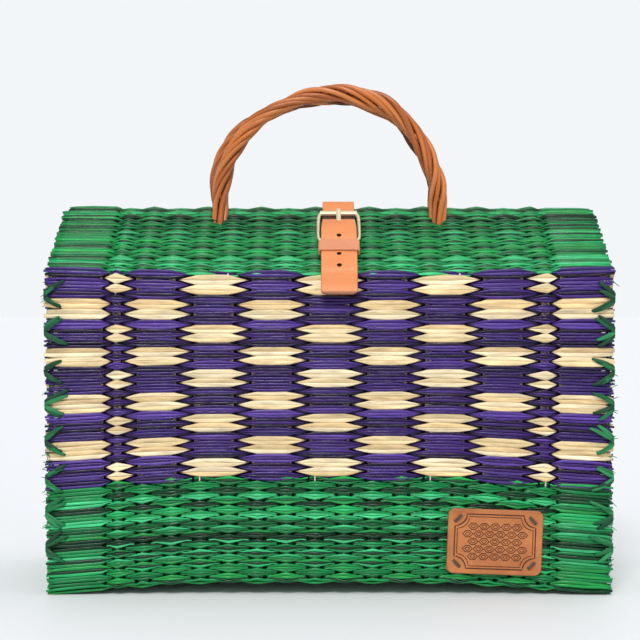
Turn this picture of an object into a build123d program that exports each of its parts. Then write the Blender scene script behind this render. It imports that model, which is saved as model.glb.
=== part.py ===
from build123d import *
import math
import os

# Sizes are in millimetres. X runs along the bag, the front faces -Y, and Z is up from the floor.

# Basket
bag_width = 400.0
bag_depth = 150.0
fold_height = 229.0
roof_angle = 33.7
mat_thickness = 5.0
base_corner_radius = 10.0
wall_top_drop = 1.8
soft_gap = 0.3
ridge_gap = 0.6
ridge_taper = 4.0
ridge_corner_radius = 6.0
end_mat_inset = 6.0

# Base: the mat touches the floor near its two ends and bows up between them
base_rise = 8.0
base_foot_length = 25.0
base_ramp_length = 70.0
base_bend_radius = 120.0

# Edge lacing
lacing_radius = 1.4
stitch_radius = 1.0
stitch_pitch = 31.0
stitch_reach = 13.0
stitch_half_height = 9.0
lacing_end_margin = 14.0

# Handles: four willow strands, twisted round an arch
handle_radius = 81.5
handle_plane = 13.0
handle_foot_rise = 52.0
handle_foot_height = fold_height + handle_foot_rise
strand_count = 4
strand_radius = 3.0
strand_orbit = 4.8
handle_turns = 2.5
steps_per_turn = 12
strand_tail_rise = 17.0
strand_tail_height = fold_height + strand_tail_rise
tie_height = 8.0
tie_thickness = 2.4
tie_drop = 3.0

# Strap, chape and keeper
strap_centre = 7.0
strap_width = 26.0
strap_thickness = 2.4
strap_tail = 46.0
strap_hang = 16.0
strap_hang_gap = 5.0
strap_bend_radius = 5.0
leather_thickness = 1.8
chape_length = 30.0
chape_width = 20.0
chape_slot_width = 4.8
chape_slot_reach = 7.0
keeper_length = 13.0
keeper_thickness = 1.4
keeper_offset = 7.5
strap_side_gap = 0.5
thread_thickness = 1.0
strap_stitch_length = 28.0
strap_stitch_width = 18.0
strap_stitch_start = 14.0
chape_stitch_length = 6.0
chape_stitch_width = 14.0

# Buckle, with its heel bar a set distance below the ridge
heel_distance = 54.0
buckle_length = 36.0
buckle_thickness = 2.6
buckle_corner_radius = 5.5
outer_bar_width = 3.2
running_gap = 0.05
prong_radius = 1.2
prong_wall = 1.1
prong_width = 4.0
prong_overhang = 2.5
prong_rest_gap = 0.1
strap_hole_radius = 1.9
prong_slot_length = 11.6
free_hole_places = (20.0, 41.0, 55.0)

# Label
label_length = 68.0
label_height = 47.0
label_thickness = 2.0
label_corner_radius = 5.0
label_centre_x = 118.0
label_centre_z = 39.0
label_tilt = 2.0
label_stitch_length = 7.0
label_stitch_inset = 8.0
label_thread_radius = 0.6
label_hole_gap = 0.1

# The lid's fold axis lies in the middle of the wall's thickness
hinge_y = bag_depth / 2 - mat_thickness / 2
roof_run = hinge_y - ridge_gap / 2
slope = math.radians(roof_angle)
half_mat = mat_thickness / 2
outer_slope_length = (roof_run + half_mat * math.sin(slope)) / math.cos(slope)

os.makedirs("parts", exist_ok=True)


def save(solid, name):
    export_step(solid, f"parts/{name}.step")


def prism(profile, half_length):
    """A profile drawn in Y and Z, drawn out along X to both sides."""
    return extrude(Plane.YZ * profile, amount=half_length, both=True)


def on_slope(along, out):
    """Y and Z of a point on the front flap: along it from its fold, and out from its middle plane."""
    y = -hinge_y + along * math.cos(slope) - out * math.sin(slope)
    z = fold_height + along * math.sin(slope) + out * math.cos(slope)
    return (y, z)


def below_ridge(distance, out):
    """The same, with the distance measured down the outer face from the ridge."""
    return on_slope(outer_slope_length - distance, half_mat + out)


def rod(start, end, radius):
    """A straight round rod between two points."""
    axis = Vector(*end) - Vector(*start)
    plane = Plane(origin=start, z_dir=axis)
    return extrude(plane * Circle(radius), amount=axis.length)


def rounded_cord(points, radius):
    """A cord through points, with round joints and ends."""
    cord = Pos(*points[0]) * Sphere(radius)
    for start, end in zip(points, points[1:]):
        cord = cord + rod(start, end, radius) + Pos(*end) * Sphere(radius)
    return cord


def ribbon(points, radii, thickness):
    """The edge-on outline of a leather strip that follows a line in Y and Z."""
    line = FilletPolyline(*points, radius=radii)
    return make_face(offset(line, amount=thickness / 2))


# ---- Basket mats

def u_profile(inset):
    """Front wall, base and back wall as one outline, open at the top, drawn in by an inset."""
    half = bag_depth / 2 - inset
    low = inset
    corner = base_corner_radius - inset
    top = fold_height + bag_depth
    outline = Pos(0, (low + top) / 2) * Rectangle(2 * half, top - low)
    lower = outline.vertices().sort_by(Axis.Y)[:2]
    return fillet(lower, corner)


def base_line(lift):
    """Height of the base's underside along X, as a closed outline that reaches down from it."""
    half = bag_width / 2
    foot = half - base_foot_length
    crown = foot - base_ramp_length
    points = [(-half - 1, lift), (-foot, lift), (-crown, lift + base_rise)]
    points += [(crown, lift + base_rise), (foot, lift), (half + 1, lift)]
    top = FilletPolyline(*points, radius=base_bend_radius)
    sides = Polyline(top @ 1, (half + 1, -bag_depth), (-half - 1, -bag_depth), top @ 0)
    return make_face([*top.edges(), *sides.edges()])


def below_base(lift):
    return extrude(Plane.XZ * base_line(lift), amount=bag_depth, both=True)


def wall_tops():
    """The space above both walls, with a round seat for each flap's fold."""
    seat_radius = half_mat + soft_gap
    space = Pos(0, fold_height - wall_top_drop + bag_depth) * Rectangle(2 * bag_depth, 2 * bag_depth)
    for side in (-1, 1):
        space = space + Pos(side * hinge_y, fold_height) * Circle(seat_radius)
    return space


def body_mat():
    outer = prism(u_profile(0), bag_width / 2) - below_base(0)
    inner = prism(u_profile(mat_thickness), bag_width) - below_base(mat_thickness)
    return outer - inner - prism(wall_tops(), bag_width)


def under_roof(clearance):
    """Outline of everything under both flaps, less a clearance."""
    out = -half_mat - clearance
    fold = on_slope(0, out)
    apex_z = fold[1] + (0 - fold[0]) * math.tan(slope)
    low = -bag_depth
    corners = [(fold[0], low), fold, (0, apex_z), (-fold[0], fold[1]), (-fold[0], low)]
    return make_face(Polyline(*corners, close=True))


def end_mat(side):
    profile = u_profile(mat_thickness + soft_gap) & under_roof(soft_gap)
    thickness = prism(profile, mat_thickness / 2)
    solid = Pos(side * (bag_width / 2 - end_mat_inset - mat_thickness / 2), 0, 0) * thickness
    return solid - below_base(mat_thickness + soft_gap)


def strand_phase(index):
    return math.radians(45 + 360 / strand_count * index)


def front_flap():
    """The flap, with a round nose at its fold and a hole for each foot of its handle."""
    nose = Pos(-hinge_y, fold_height) * Circle(half_mat)
    corners = [on_slope(0, -half_mat), on_slope(0, half_mat), on_slope(bag_depth, half_mat)]
    corners.append(on_slope(bag_depth, -half_mat))
    slab = make_face(Polyline(*corners, close=True))
    front = Pos(-bag_depth - ridge_gap / 2, fold_height) * Rectangle(2 * bag_depth, 4 * bag_depth)
    flap = prism((nose + slab) & front, bag_width / 2)
    half = bag_width / 2
    ridge_half = half - ridge_taper
    plan_points = [(-half, -bag_depth), (half, -bag_depth), (half, -hinge_y), (ridge_half, -ridge_gap / 2)]
    plan_points += [(-ridge_half, -ridge_gap / 2), (-half, -hinge_y)]
    plan = make_face(Polyline(*plan_points, close=True))
    plan = fillet(plan.vertices().group_by(Axis.Y)[-1], ridge_corner_radius)
    flap = flap & extrude(plan, amount=2 * fold_height)
    for side in (-1, 1):
        hole = Cylinder(strand_orbit + strand_radius + soft_gap, 2 * bag_depth)
        flap = flap - Pos(side * handle_radius, -handle_plane, fold_height) * hole
    return flap


# ---- Edge lacing

def corner_lacing():
    """Left front: a cord down the corner, with V-shaped stitches that open over the wall."""
    cord_x = -bag_width / 2 - lacing_radius + 0.2
    cord_y = -bag_depth / 2 - lacing_radius + 0.2
    low = base_corner_radius + lacing_end_margin
    high = fold_height - lacing_end_margin
    lacing = rounded_cord([(cord_x, cord_y, low), (cord_x, cord_y, high)], lacing_radius)
    stitch_y = -bag_depth / 2 - soft_gap - stitch_radius
    stitch_count = int((high - low) / stitch_pitch)
    first = (low + high) / 2 - (stitch_count - 1) * stitch_pitch / 2
    for number in range(stitch_count):
        z = first + number * stitch_pitch
        tip = (cord_x, stitch_y, z)
        for direction in (-1, 1):
            end = (cord_x + stitch_reach, stitch_y, z + direction * stitch_half_height)
            lacing = lacing + rounded_cord([tip, end], stitch_radius)
    return lacing


def base_lacing():
    """Left end of the base: a cord that lies along its lower edge."""
    x = -bag_width / 2 - lacing_radius - soft_gap
    z = lacing_radius + soft_gap
    half = bag_depth / 2 - base_corner_radius - lacing_radius
    return rounded_cord([(x, -half, z), (x, half, z)], lacing_radius)


# ---- Handles

def strand_path(index):
    """Middle line of one strand of the front handle, from its left tail to its right tail."""
    phase = strand_phase(index)
    steps = round(handle_turns * steps_per_turn)
    foot = (-handle_radius - strand_orbit * math.cos(phase), -handle_plane + strand_orbit * math.sin(phase))
    points = [(foot[0], foot[1], strand_tail_height)]
    for step in range(steps + 1):
        turn = phase - 2 * math.pi * handle_turns * step / steps
        angle = math.pi * step / steps
        reach = handle_radius + strand_orbit * math.cos(turn)
        x = -reach * math.cos(angle)
        z = handle_foot_height + reach * math.sin(angle)
        points.append((x, -handle_plane + strand_orbit * math.sin(turn), z))
    last = points[-1]
    points.append((last[0], last[1], strand_tail_height))
    return points


def bend_radii(points):
    """The largest tangent arc at each corner that leaves a tenth of the shorter run straight."""
    corners = [Vector(*point) for point in points]
    radii = []
    for before, here, after in zip(corners, corners[1:], corners[2:]):
        arriving = here - before
        leaving = after - here
        half_turn = math.radians(arriving.get_angle(leaving)) / 2
        radii.append(0.45 * min(arriving.length, leaving.length) / math.tan(half_turn))
    return radii


def handle_strand(index):
    points = strand_path(index)
    radii = bend_radii(points)
    print(f"strand {index + 1}: bend radii {min(radii):.0f} to {max(radii):.0f}")
    path = FilletPolyline(*points, radius=radii)
    plane = Plane(origin=points[0], z_dir=(0, 0, 1))
    return sweep(plane * Circle(strand_radius), path=path)


def handle_tie(side):
    """Twine wound round the strands of one foot, below the front flap."""
    inner = strand_orbit + strand_radius + soft_gap
    outer = inner + tie_thickness
    flap_face = on_slope((hinge_y - handle_plane - outer) / math.cos(slope), -half_mat / math.cos(slope) ** 2)
    top = flap_face[1] - tie_drop
    ring = Cylinder(outer, tie_height) - Cylinder(inner, tie_height)
    return Pos(side * handle_radius, -handle_plane, top - tie_height / 2) * ring


# ---- Strap and buckle, on the front flap
# Heights called "out" are measured from the flap's outer face.

bar_radius = buckle_thickness / 2
heel_bore = bar_radius + running_gap
heel_out = soft_gap + strap_thickness + soft_gap + bar_radius
chape_ring = heel_bore + leather_thickness
chape_top = soft_gap + 2 * leather_thickness
outer_bar_distance = heel_distance - buckle_length
keeper_distance = heel_distance + keeper_offset
strap_under = soft_gap + strap_thickness / 2
strap_over = heel_out + chape_ring + soft_gap + strap_thickness / 2
strap_kept = chape_top + keeper_thickness + soft_gap + strap_thickness / 2
rise_start = outer_bar_distance + 2 * strap_thickness
rise_end = heel_distance - 5 * strap_thickness

# The prong rises from the heel bar to the top of the outer bar, through the strap
prong_root = bar_radius
prong_tip = bar_radius + prong_rest_gap + prong_radius
prong_climb = (prong_tip - prong_root) / buckle_length
strap_climb = (strap_over - strap_under) / (rise_end - rise_start)
crossing_height = heel_out + prong_root + prong_climb * (heel_distance - rise_start) - strap_under
prong_hole_distance = rise_start + crossing_height / (strap_climb + prong_climb)


def place_on_front(solid, distance, out):
    """Moves a solid to the front flap. Its Y then climbs the slope and its Z points outward."""
    y, z = below_ridge(distance, out)
    plane = Plane(origin=(strap_centre, y, z), x_dir=(1, 0, 0), z_dir=(0, -math.sin(slope), math.cos(slope)))
    return plane.location * solid


def place_on_back(solid, distance, out):
    return mirror(place_on_front(solid, distance, out), about=Plane.XZ)


def strap():
    """From the back flap over the ridge, under the outer bar, over the heel bar, through the keeper."""
    ridge_y, ridge_z = below_ridge(0, strap_under)
    back_y, back_z = below_ridge(strap_tail, strap_under)
    points = [(-back_y, back_z), (0, ridge_z - ridge_y * math.tan(slope))]
    points.append(below_ridge(rise_start, strap_under))
    points.append(below_ridge(rise_end, strap_over))
    points.append(below_ridge(heel_distance + strap_thickness, strap_over))
    points.append(below_ridge(keeper_distance - strap_thickness / 2, strap_kept))
    points.append(below_ridge(keeper_distance + keeper_length + 2 * strap_thickness, strap_kept))
    hang_y = -bag_depth / 2 - strap_hang_gap - strap_thickness / 2
    points.append((hang_y, fold_height + 2 * strap_thickness))
    points.append((hang_y, fold_height - strap_hang))
    radii = [strap_thickness] + [strap_bend_radius] * (len(points) - 3)
    solid = Pos(strap_centre, 0, 0) * prism(ribbon(points, radii, strap_thickness), strap_width / 2)
    slot = SlotOverall(prong_slot_length, 2 * strap_hole_radius, rotation=90)
    cutter = extrude(slot, amount=strap_over + strap_thickness)
    solid = solid - place_on_front(cutter, prong_hole_distance, 0)
    for place in free_hole_places:
        cutter = extrude(Circle(strap_hole_radius), amount=strap_over + strap_thickness)
        solid = solid - place_on_front(cutter, prong_hole_distance + place, chape_top)
    return solid


def stitched_ring(width, length):
    """A closed row of stitches, seen as one flat thread."""
    outer = RectangleRounded(width, length, 2 * thread_thickness)
    inner = RectangleRounded(width - 2 * thread_thickness, length - 2 * thread_thickness, thread_thickness)
    return extrude(outer - inner, amount=thread_thickness)


def strap_stitching():
    ring = stitched_ring(strap_stitch_width, strap_stitch_length)
    middle = strap_stitch_start + strap_stitch_length / 2
    return place_on_back(ring, middle, soft_gap + strap_thickness)


def chape():
    """Leather folded round the heel bar, with a slot for the prong's root."""
    low = soft_gap - heel_out
    top = chape_top - heel_out
    blend = chape_slot_reach
    outline = Polyline((0, -chape_ring), (0, chape_ring), (-blend, top), (-chape_length, top),
                       (-chape_length, low), (-blend, low), close=True)
    profile = Circle(chape_ring) + make_face(outline) - Circle(heel_bore)
    solid = prism(profile, chape_width / 2)
    slot_height = 2 * chape_ring + heel_out
    slot = Pos(0, chape_ring / 2 - blend / 2, 0) * Box(chape_slot_width, chape_ring + blend, 2 * slot_height)
    return place_on_front(solid - slot, heel_distance, heel_out)


def chape_stitching():
    ring = stitched_ring(chape_stitch_width, chape_stitch_length)
    past_keeper = keeper_distance + keeper_length
    middle = (past_keeper + heel_distance + chape_length) / 2
    return place_on_front(ring, middle, chape_top)


def keeper():
    """A leather loop that stands on the chape and goes round the strap."""
    inner_width = strap_width + 2 * strap_side_gap
    inner_height = strap_thickness + 2 * soft_gap
    outer_width = inner_width + 2 * keeper_thickness
    outer_height = inner_height + 2 * keeper_thickness
    loop = Box(outer_width, keeper_length, outer_height) - Box(inner_width, 2 * keeper_length, inner_height)
    loop = fillet(loop.edges().filter_by(Axis.Y).group_by(Axis.Z)[-1], keeper_thickness)
    return place_on_front(loop, keeper_distance + keeper_length / 2, chape_top + outer_height / 2)


def buckle_frame():
    """Two rounded arms and a flat outer bar, closed by a round heel bar inside the chape."""
    inner_width = strap_width + 2 * strap_side_gap
    outer_width = inner_width + 2 * buckle_thickness
    outer_length = buckle_length + buckle_thickness
    inner_radius = buckle_corner_radius - buckle_thickness
    ring = RectangleRounded(outer_width, outer_length, buckle_corner_radius)
    ring = ring - RectangleRounded(inner_width, buckle_length - buckle_thickness, inner_radius)
    frame = Pos(0, buckle_length / 2, 0) * extrude(ring, amount=bar_radius, both=True)
    frame = frame + Pos(0, buckle_length, 0) * Box(inner_width, outer_bar_width, buckle_thickness)
    heel_length = outer_width - 2 * buckle_corner_radius
    frame = frame - Box(heel_length, 2 * buckle_thickness, 2 * buckle_thickness)
    heel = Rot(0, 90, 0) * Cylinder(bar_radius, heel_length)
    return place_on_front(frame + heel, heel_distance, heel_out)


def buckle_prong():
    """A ring on the heel bar and a pin that rests over the outer bar."""
    ring = Rot(0, 90, 0) * Cylinder(heel_bore + prong_wall, prong_width)
    reach = buckle_length + prong_overhang
    tip_height = prong_root + prong_climb * reach
    pin = rod((0, 0, prong_root), (0, reach, tip_height), prong_radius)
    pin = pin + Pos(0, reach, tip_height) * Sphere(prong_radius)
    bore = Rot(0, 90, 0) * Cylinder(heel_bore, 2 * prong_width)
    return place_on_front(ring + pin - bore, heel_distance, heel_out)


# ---- Label

label_tilt_angle = math.radians(label_tilt)
label_x_dir = (math.cos(label_tilt_angle), 0, -math.sin(label_tilt_angle))
label_origin = (label_centre_x, -bag_depth / 2 - soft_gap, label_centre_z)
label_plane = Plane(origin=label_origin, x_dir=label_x_dir, z_dir=(0, -1, 0))


def stitch_ends(corner):
    """Where the thread of one corner goes down: two points on a line across that corner."""
    side_x, side_y = corner
    middle_x = side_x * (label_length / 2 - label_stitch_inset)
    middle_y = side_y * (label_height / 2 - label_stitch_inset)
    half_x = side_x * label_stitch_length / 2 * math.sqrt(0.5)
    half_y = side_y * label_stitch_length / 2 * math.sqrt(0.5)
    return [(middle_x - half_x, middle_y + half_y), (middle_x + half_x, middle_y - half_y)]


label_corners = [(-1, -1), (1, -1), (1, 1), (-1, 1)]


def label():
    plate = extrude(RectangleRounded(label_length, label_height, label_corner_radius), amount=label_thickness)
    for corner in label_corners:
        for x, y in stitch_ends(corner):
            plate = plate - Pos(x, y, 0) * Cylinder(label_thread_radius + label_hole_gap, 3 * label_thickness)
    return label_plane.location * plate


def label_stitch(corner):
    """One thread over the label's corner, with both ends going down through it."""
    top = label_thickness + label_thread_radius + label_hole_gap
    (start_x, start_y), (end_x, end_y) = stitch_ends(corner)
    points = [(start_x, start_y, 0), (start_x, start_y, top), (end_x, end_y, top), (end_x, end_y, 0)]
    thread = rounded_cord(points[1:3], label_thread_radius)
    for start, end in ((points[0], points[1]), (points[2], points[3])):
        thread = thread + rod(start, end, label_thread_radius)
    return label_plane.location * thread


# ---- All pieces

def save_mirrored(solid, front_name, back_name):
    """The same piece at the front, and at the back mirrored."""
    save(solid, front_name)
    save(mirror(solid, about=Plane.XZ), back_name)


save(body_mat(), "body_mat")
save(end_mat(-1), "left_end_mat")
save(end_mat(1), "right_end_mat")
save_mirrored(front_flap(), "front_flap", "back_flap")

left_corner = corner_lacing()
right_corner = mirror(left_corner, about=Plane.YZ)
save_mirrored(left_corner, "left_front_lacing", "left_back_lacing")
save_mirrored(right_corner, "right_front_lacing", "right_back_lacing")
left_base = base_lacing()
save(left_base, "left_base_lacing")
save(mirror(left_base, about=Plane.YZ), "right_base_lacing")

for number in range(strand_count):
    strand = handle_strand(number)
    save(strand, f"front_handle_strand_{number + 1}")
    save(Rot(0, 0, 180) * strand, f"back_handle_strand_{number + 1}")
save_mirrored(handle_tie(-1), "front_left_tie", "back_left_tie")
save_mirrored(handle_tie(1), "front_right_tie", "back_right_tie")

save(strap(), "strap")
save(strap_stitching(), "strap_stitching")
save(chape(), "chape")
save(chape_stitching(), "chape_stitching")
save(keeper(), "keeper")
save(buckle_frame(), "buckle_frame")
save(buckle_prong(), "buckle_prong")
save(label(), "label")
for number, corner in enumerate(label_corners):
    save(label_stitch(corner), f"label_stitch_{number + 1}")
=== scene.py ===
import bpy
import bmesh
import math
import random
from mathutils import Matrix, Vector, noise


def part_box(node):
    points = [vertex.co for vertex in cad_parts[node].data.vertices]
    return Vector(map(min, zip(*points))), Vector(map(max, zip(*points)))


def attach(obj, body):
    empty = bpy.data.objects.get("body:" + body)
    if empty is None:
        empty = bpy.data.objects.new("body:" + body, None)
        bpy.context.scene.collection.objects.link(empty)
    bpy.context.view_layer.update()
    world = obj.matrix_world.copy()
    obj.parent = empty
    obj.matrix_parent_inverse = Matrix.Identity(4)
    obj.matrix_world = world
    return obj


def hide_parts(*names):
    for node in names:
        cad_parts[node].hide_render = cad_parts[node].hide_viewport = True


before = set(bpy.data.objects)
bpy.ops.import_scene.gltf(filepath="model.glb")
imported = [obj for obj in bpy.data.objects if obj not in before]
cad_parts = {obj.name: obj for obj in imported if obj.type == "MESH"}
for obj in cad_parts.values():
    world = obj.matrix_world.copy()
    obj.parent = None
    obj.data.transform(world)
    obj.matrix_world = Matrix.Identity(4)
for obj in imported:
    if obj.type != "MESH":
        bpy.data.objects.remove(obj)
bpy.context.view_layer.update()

bag = {
    "halfWidth": 0.2022,
    "wallY": 0.0725,        # middle of the wall's thickness
    "foldZ": 0.229,
    "slope": math.radians(33.7),
    "slopeLength": 0.0868,
    "flapNarrowing": 0.02,  # share of its width that a flap loses up to the ridge
    "flapCorner": 0.008,
    "baseRise": 0.008,
    "baseMiddle": 0.0019,   # middle of the base's thickness above the floor
    "cornerRadius": 0.0015,
    "endX": 0.1915,         # middle of the end mat's thickness
    "halfInside": 0.0697,
}

warping = {"count": 16, "pitch": 0.0206, "firstShift": 0.0025, "endCount": 6, "endPitch": 0.0225}


def spreadEvenly(count, pitch):
    return [(number - (count - 1) / 2) * pitch for number in range(count)]


warps = spreadEvenly(warping["count"], warping["pitch"])
warps[0] += warping["firstShift"]    # the first cord stands a little nearer the middle
endWarps = spreadEvenly(warping["endCount"], warping["endPitch"])


def deselectAll():
    bpy.ops.object.select_all(action="DESELECT")


def smoothByAngle(piece, degrees):
    deselectAll()
    piece.select_set(True)
    bpy.context.view_layer.objects.active = piece
    bpy.ops.object.shade_smooth_by_angle(angle=math.radians(degrees))


def startMaterial(name):
    material = bpy.data.materials.new(name)
    material.use_nodes = True
    nodes = material.node_tree.nodes
    shader = nodes["Principled BSDF"]
    return material, nodes, material.node_tree.links, shader


def noiseNode(nodes, links, vector, scale, detail=3.0, roughness=0.55, stretch=(1, 1, 1)):
    mapping = nodes.new("ShaderNodeMapping")
    mapping.inputs["Scale"].default_value = stretch
    texture = nodes.new("ShaderNodeTexNoise")
    texture.inputs["Scale"].default_value = scale
    texture.inputs["Detail"].default_value = detail
    texture.inputs["Roughness"].default_value = roughness
    links.new(vector, mapping.inputs["Vector"])
    links.new(mapping.outputs["Vector"], texture.inputs["Vector"])
    return texture.outputs["Fac"]


def rangeNode(nodes, links, value, low, high, fromLow=0.3, fromHigh=0.7):
    node = nodes.new("ShaderNodeMapRange")
    node.inputs["From Min"].default_value = fromLow
    node.inputs["From Max"].default_value = fromHigh
    node.inputs["To Min"].default_value = low
    node.inputs["To Max"].default_value = high
    links.new(value, node.inputs["Value"])
    return node.outputs["Result"]


def scaleColour(nodes, links, colour, factor):
    node = nodes.new("ShaderNodeVectorMath")
    node.operation = "SCALE"
    links.new(colour, node.inputs[0])
    links.new(factor, node.inputs["Scale"])
    return node.outputs["Vector"]


def mixColour(nodes, links, factor, first, second):
    node = nodes.new("ShaderNodeMix")
    node.data_type = "RGBA"
    links.new(factor, node.inputs["Factor"])
    for socket, value in ((6, first), (7, second)):    # the node's colour sockets
        if isinstance(value, tuple):
            node.inputs[socket].default_value = (*value, 1)
        else:
            links.new(value, node.inputs[socket])
    return node.outputs[2]


def bumpNode(nodes, links, shader, height, strength, distance):
    node = nodes.new("ShaderNodeBump")
    node.inputs["Strength"].default_value = strength
    node.inputs["Distance"].default_value = distance
    links.new(height, node.inputs["Height"])
    links.new(node.outputs["Normal"], shader.inputs["Normal"])


# reeds, shoots and twine: the strand's own colour with streaks and patches that run along it
def makeReedMaterial(name, settings):
    material, nodes, links, shader = startMaterial(name)
    colour = nodes.new("ShaderNodeAttribute")
    colour.attribute_name = "reedColour"
    uv = nodes.new("ShaderNodeUVMap")
    uv.uv_map = "along"
    fine = noiseNode(nodes, links, uv.outputs["UV"], 1.0, 4.0, 0.6, settings["fineStretch"])
    broad = noiseNode(nodes, links, uv.outputs["UV"], 1.0, 2.0, 0.5, settings["broadStretch"])
    streaks = rangeNode(nodes, links, fine, settings["dark"], settings["light"])
    patches = rangeNode(nodes, links, broad, settings["patchDark"], 1.15)
    toned = scaleColour(nodes, links, colour.outputs["Color"], streaks)
    toned = scaleColour(nodes, links, toned, patches)
    links.new(toned, shader.inputs["Base Color"])
    roughness = rangeNode(nodes, links, broad, settings["roughLow"], settings["roughHigh"])
    links.new(roughness, shader.inputs["Roughness"])
    shader.inputs["Specular IOR Level"].default_value = settings["specular"]
    bumpNode(nodes, links, shader, fine, settings["bump"], 0.0004)
    return material


reedFinish = {
    "fineStretch": (60, 9, 1), "broadStretch": (26, 1.2, 1),
    "dark": 0.62, "light": 1.2, "patchDark": 0.75,
    "roughLow": 0.20, "roughHigh": 0.34, "specular": 0.32, "bump": 0.45,
}
willowFinish = {
    "fineStretch": (30, 5, 1), "broadStretch": (14, 1.0, 1),
    "dark": 0.7, "light": 1.2, "patchDark": 0.75,
    "roughLow": 0.26, "roughHigh": 0.42, "specular": 0.5, "bump": 0.4,
}
twineFinish = {
    "fineStretch": (90, 14, 1), "broadStretch": (20, 1.0, 1),
    "dark": 0.6, "light": 1.25, "patchDark": 0.7,
    "roughLow": 0.5, "roughHigh": 0.75, "specular": 0.4, "bump": 0.6,
}
reedMaterial = makeReedMaterial("dyedReed", reedFinish)
willowMaterial = makeReedMaterial("willowBark", willowFinish)
twineMaterial = makeReedMaterial("twistedTwine", twineFinish)


# leather with a cloudy tone, fine pores and a darker cut edge; on the strap the edge colour also paints the
# shadow under the buckle bar
def makeLeatherMaterial(name, settings):
    material, nodes, links, shader = startMaterial(name)
    coordinates = nodes.new("ShaderNodeTexCoord").outputs["Object"]
    cloud = noiseNode(nodes, links, coordinates, 45.0, 3.0, 0.55)
    grain = noiseNode(nodes, links, coordinates, 900.0, 3.0, 0.6)
    voronoi = nodes.new("ShaderNodeTexVoronoi")
    voronoi.inputs["Scale"].default_value = settings["poreScale"]
    links.new(coordinates, voronoi.inputs["Vector"])
    clouds = rangeNode(nodes, links, cloud, 0.0, 1.0)
    tone = mixColour(nodes, links, clouds, settings["dark"], settings["light"])
    tone = scaleColour(nodes, links, tone, rangeNode(nodes, links, grain, 0.92, 1.06))
    edge = nodes.new("ShaderNodeAttribute")
    edge.attribute_name = "cutEdgeAndShade"
    tone = mixColour(nodes, links, edge.outputs["Fac"], tone, settings["edge"])
    links.new(tone, shader.inputs["Base Color"])
    roughness = rangeNode(nodes, links, cloud, settings["roughLow"], settings["roughHigh"])
    links.new(roughness, shader.inputs["Roughness"])
    height = rangeNode(nodes, links, voronoi.outputs["Distance"], 0.0, 1.0, 0.0, 0.8)
    bumpNode(nodes, links, shader, height, settings["bump"], 0.0003)
    return material


# on the strap the edge colour darkens the cut edges and, at full strength, paints the shadow under the buckle
# bar
strapLeather = makeLeatherMaterial("strapLeather", {
    "dark": (0.76, 0.245, 0.078), "light": (0.84, 0.29, 0.10), "edge": (0.06, 0.022, 0.012),
    "poreScale": 1400, "roughLow": 0.42, "roughHigh": 0.6, "bump": 0.18,
})
ridgeLeather = makeLeatherMaterial("keeperLeather", {
    "dark": (0.62, 0.225, 0.11), "light": (0.74, 0.29, 0.15), "edge": (0.30, 0.14, 0.08),
    "poreScale": 1400, "roughLow": 0.45, "roughHigh": 0.62, "bump": 0.18,
})
labelLeather = makeLeatherMaterial("labelLeather", {
    "dark": (0.40, 0.118, 0.028), "light": (0.58, 0.20, 0.055), "edge": (0.14, 0.055, 0.03),
    "poreScale": 1100, "roughLow": 0.45, "roughHigh": 0.65, "bump": 0.25,
})


def makeCloudyMaterial(name, settings):
    material, nodes, links, shader = startMaterial(name)
    coordinates = nodes.new("ShaderNodeTexCoord").outputs["Object"]
    cloud = noiseNode(nodes, links, coordinates, settings["scale"], settings["detail"])
    clouds = rangeNode(nodes, links, cloud, 0.0, 1.0)
    tone = mixColour(nodes, links, clouds, settings["dark"], settings["light"])
    links.new(tone, shader.inputs["Base Color"])
    shader.inputs["Metallic"].default_value = settings["metallic"]
    shader.inputs["Roughness"].default_value = settings["rough"]
    if settings["bump"] > 0:
        roughness = rangeNode(nodes, links, cloud, settings["roughLow"], settings["rough"])
        links.new(roughness, shader.inputs["Roughness"])
        bumpNode(nodes, links, shader, cloud, settings["bump"], 0.0001)
    return material


burntMaterial = makeCloudyMaterial("burntLine", {
    "scale": 700.0, "detail": 3.0, "dark": (0.025, 0.008, 0.004), "light": (0.10, 0.028, 0.010),
    "rough": 0.8, "metallic": 0.0, "bump": 0.0,
})
brassMaterial = makeCloudyMaterial("paleBrass", {
    "scale": 260.0, "detail": 4.0, "dark": (0.94, 0.82, 0.54), "light": (0.98, 0.90, 0.66),
    "roughLow": 0.34, "rough": 0.44, "metallic": 0.72, "bump": 0.02,
})


def newBundle():
    return {"points": [], "faces": [], "colours": [], "uvs": [], "edges": []}


# an oval of half size one each way, squarer where the power is lower
def ovalSection(count, power):
    section = []
    for number in range(count):
        angle = 2 * math.pi * number / count
        across = math.copysign(abs(math.cos(angle)) ** power, math.cos(angle))
        out = math.copysign(abs(math.sin(angle)) ** power, math.sin(angle))
        section.append((across, out))
    return section


def tangentAt(path, number):
    return (path[min(len(path) - 1, number + 1)] - path[max(0, number - 1)]).normalized()


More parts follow.
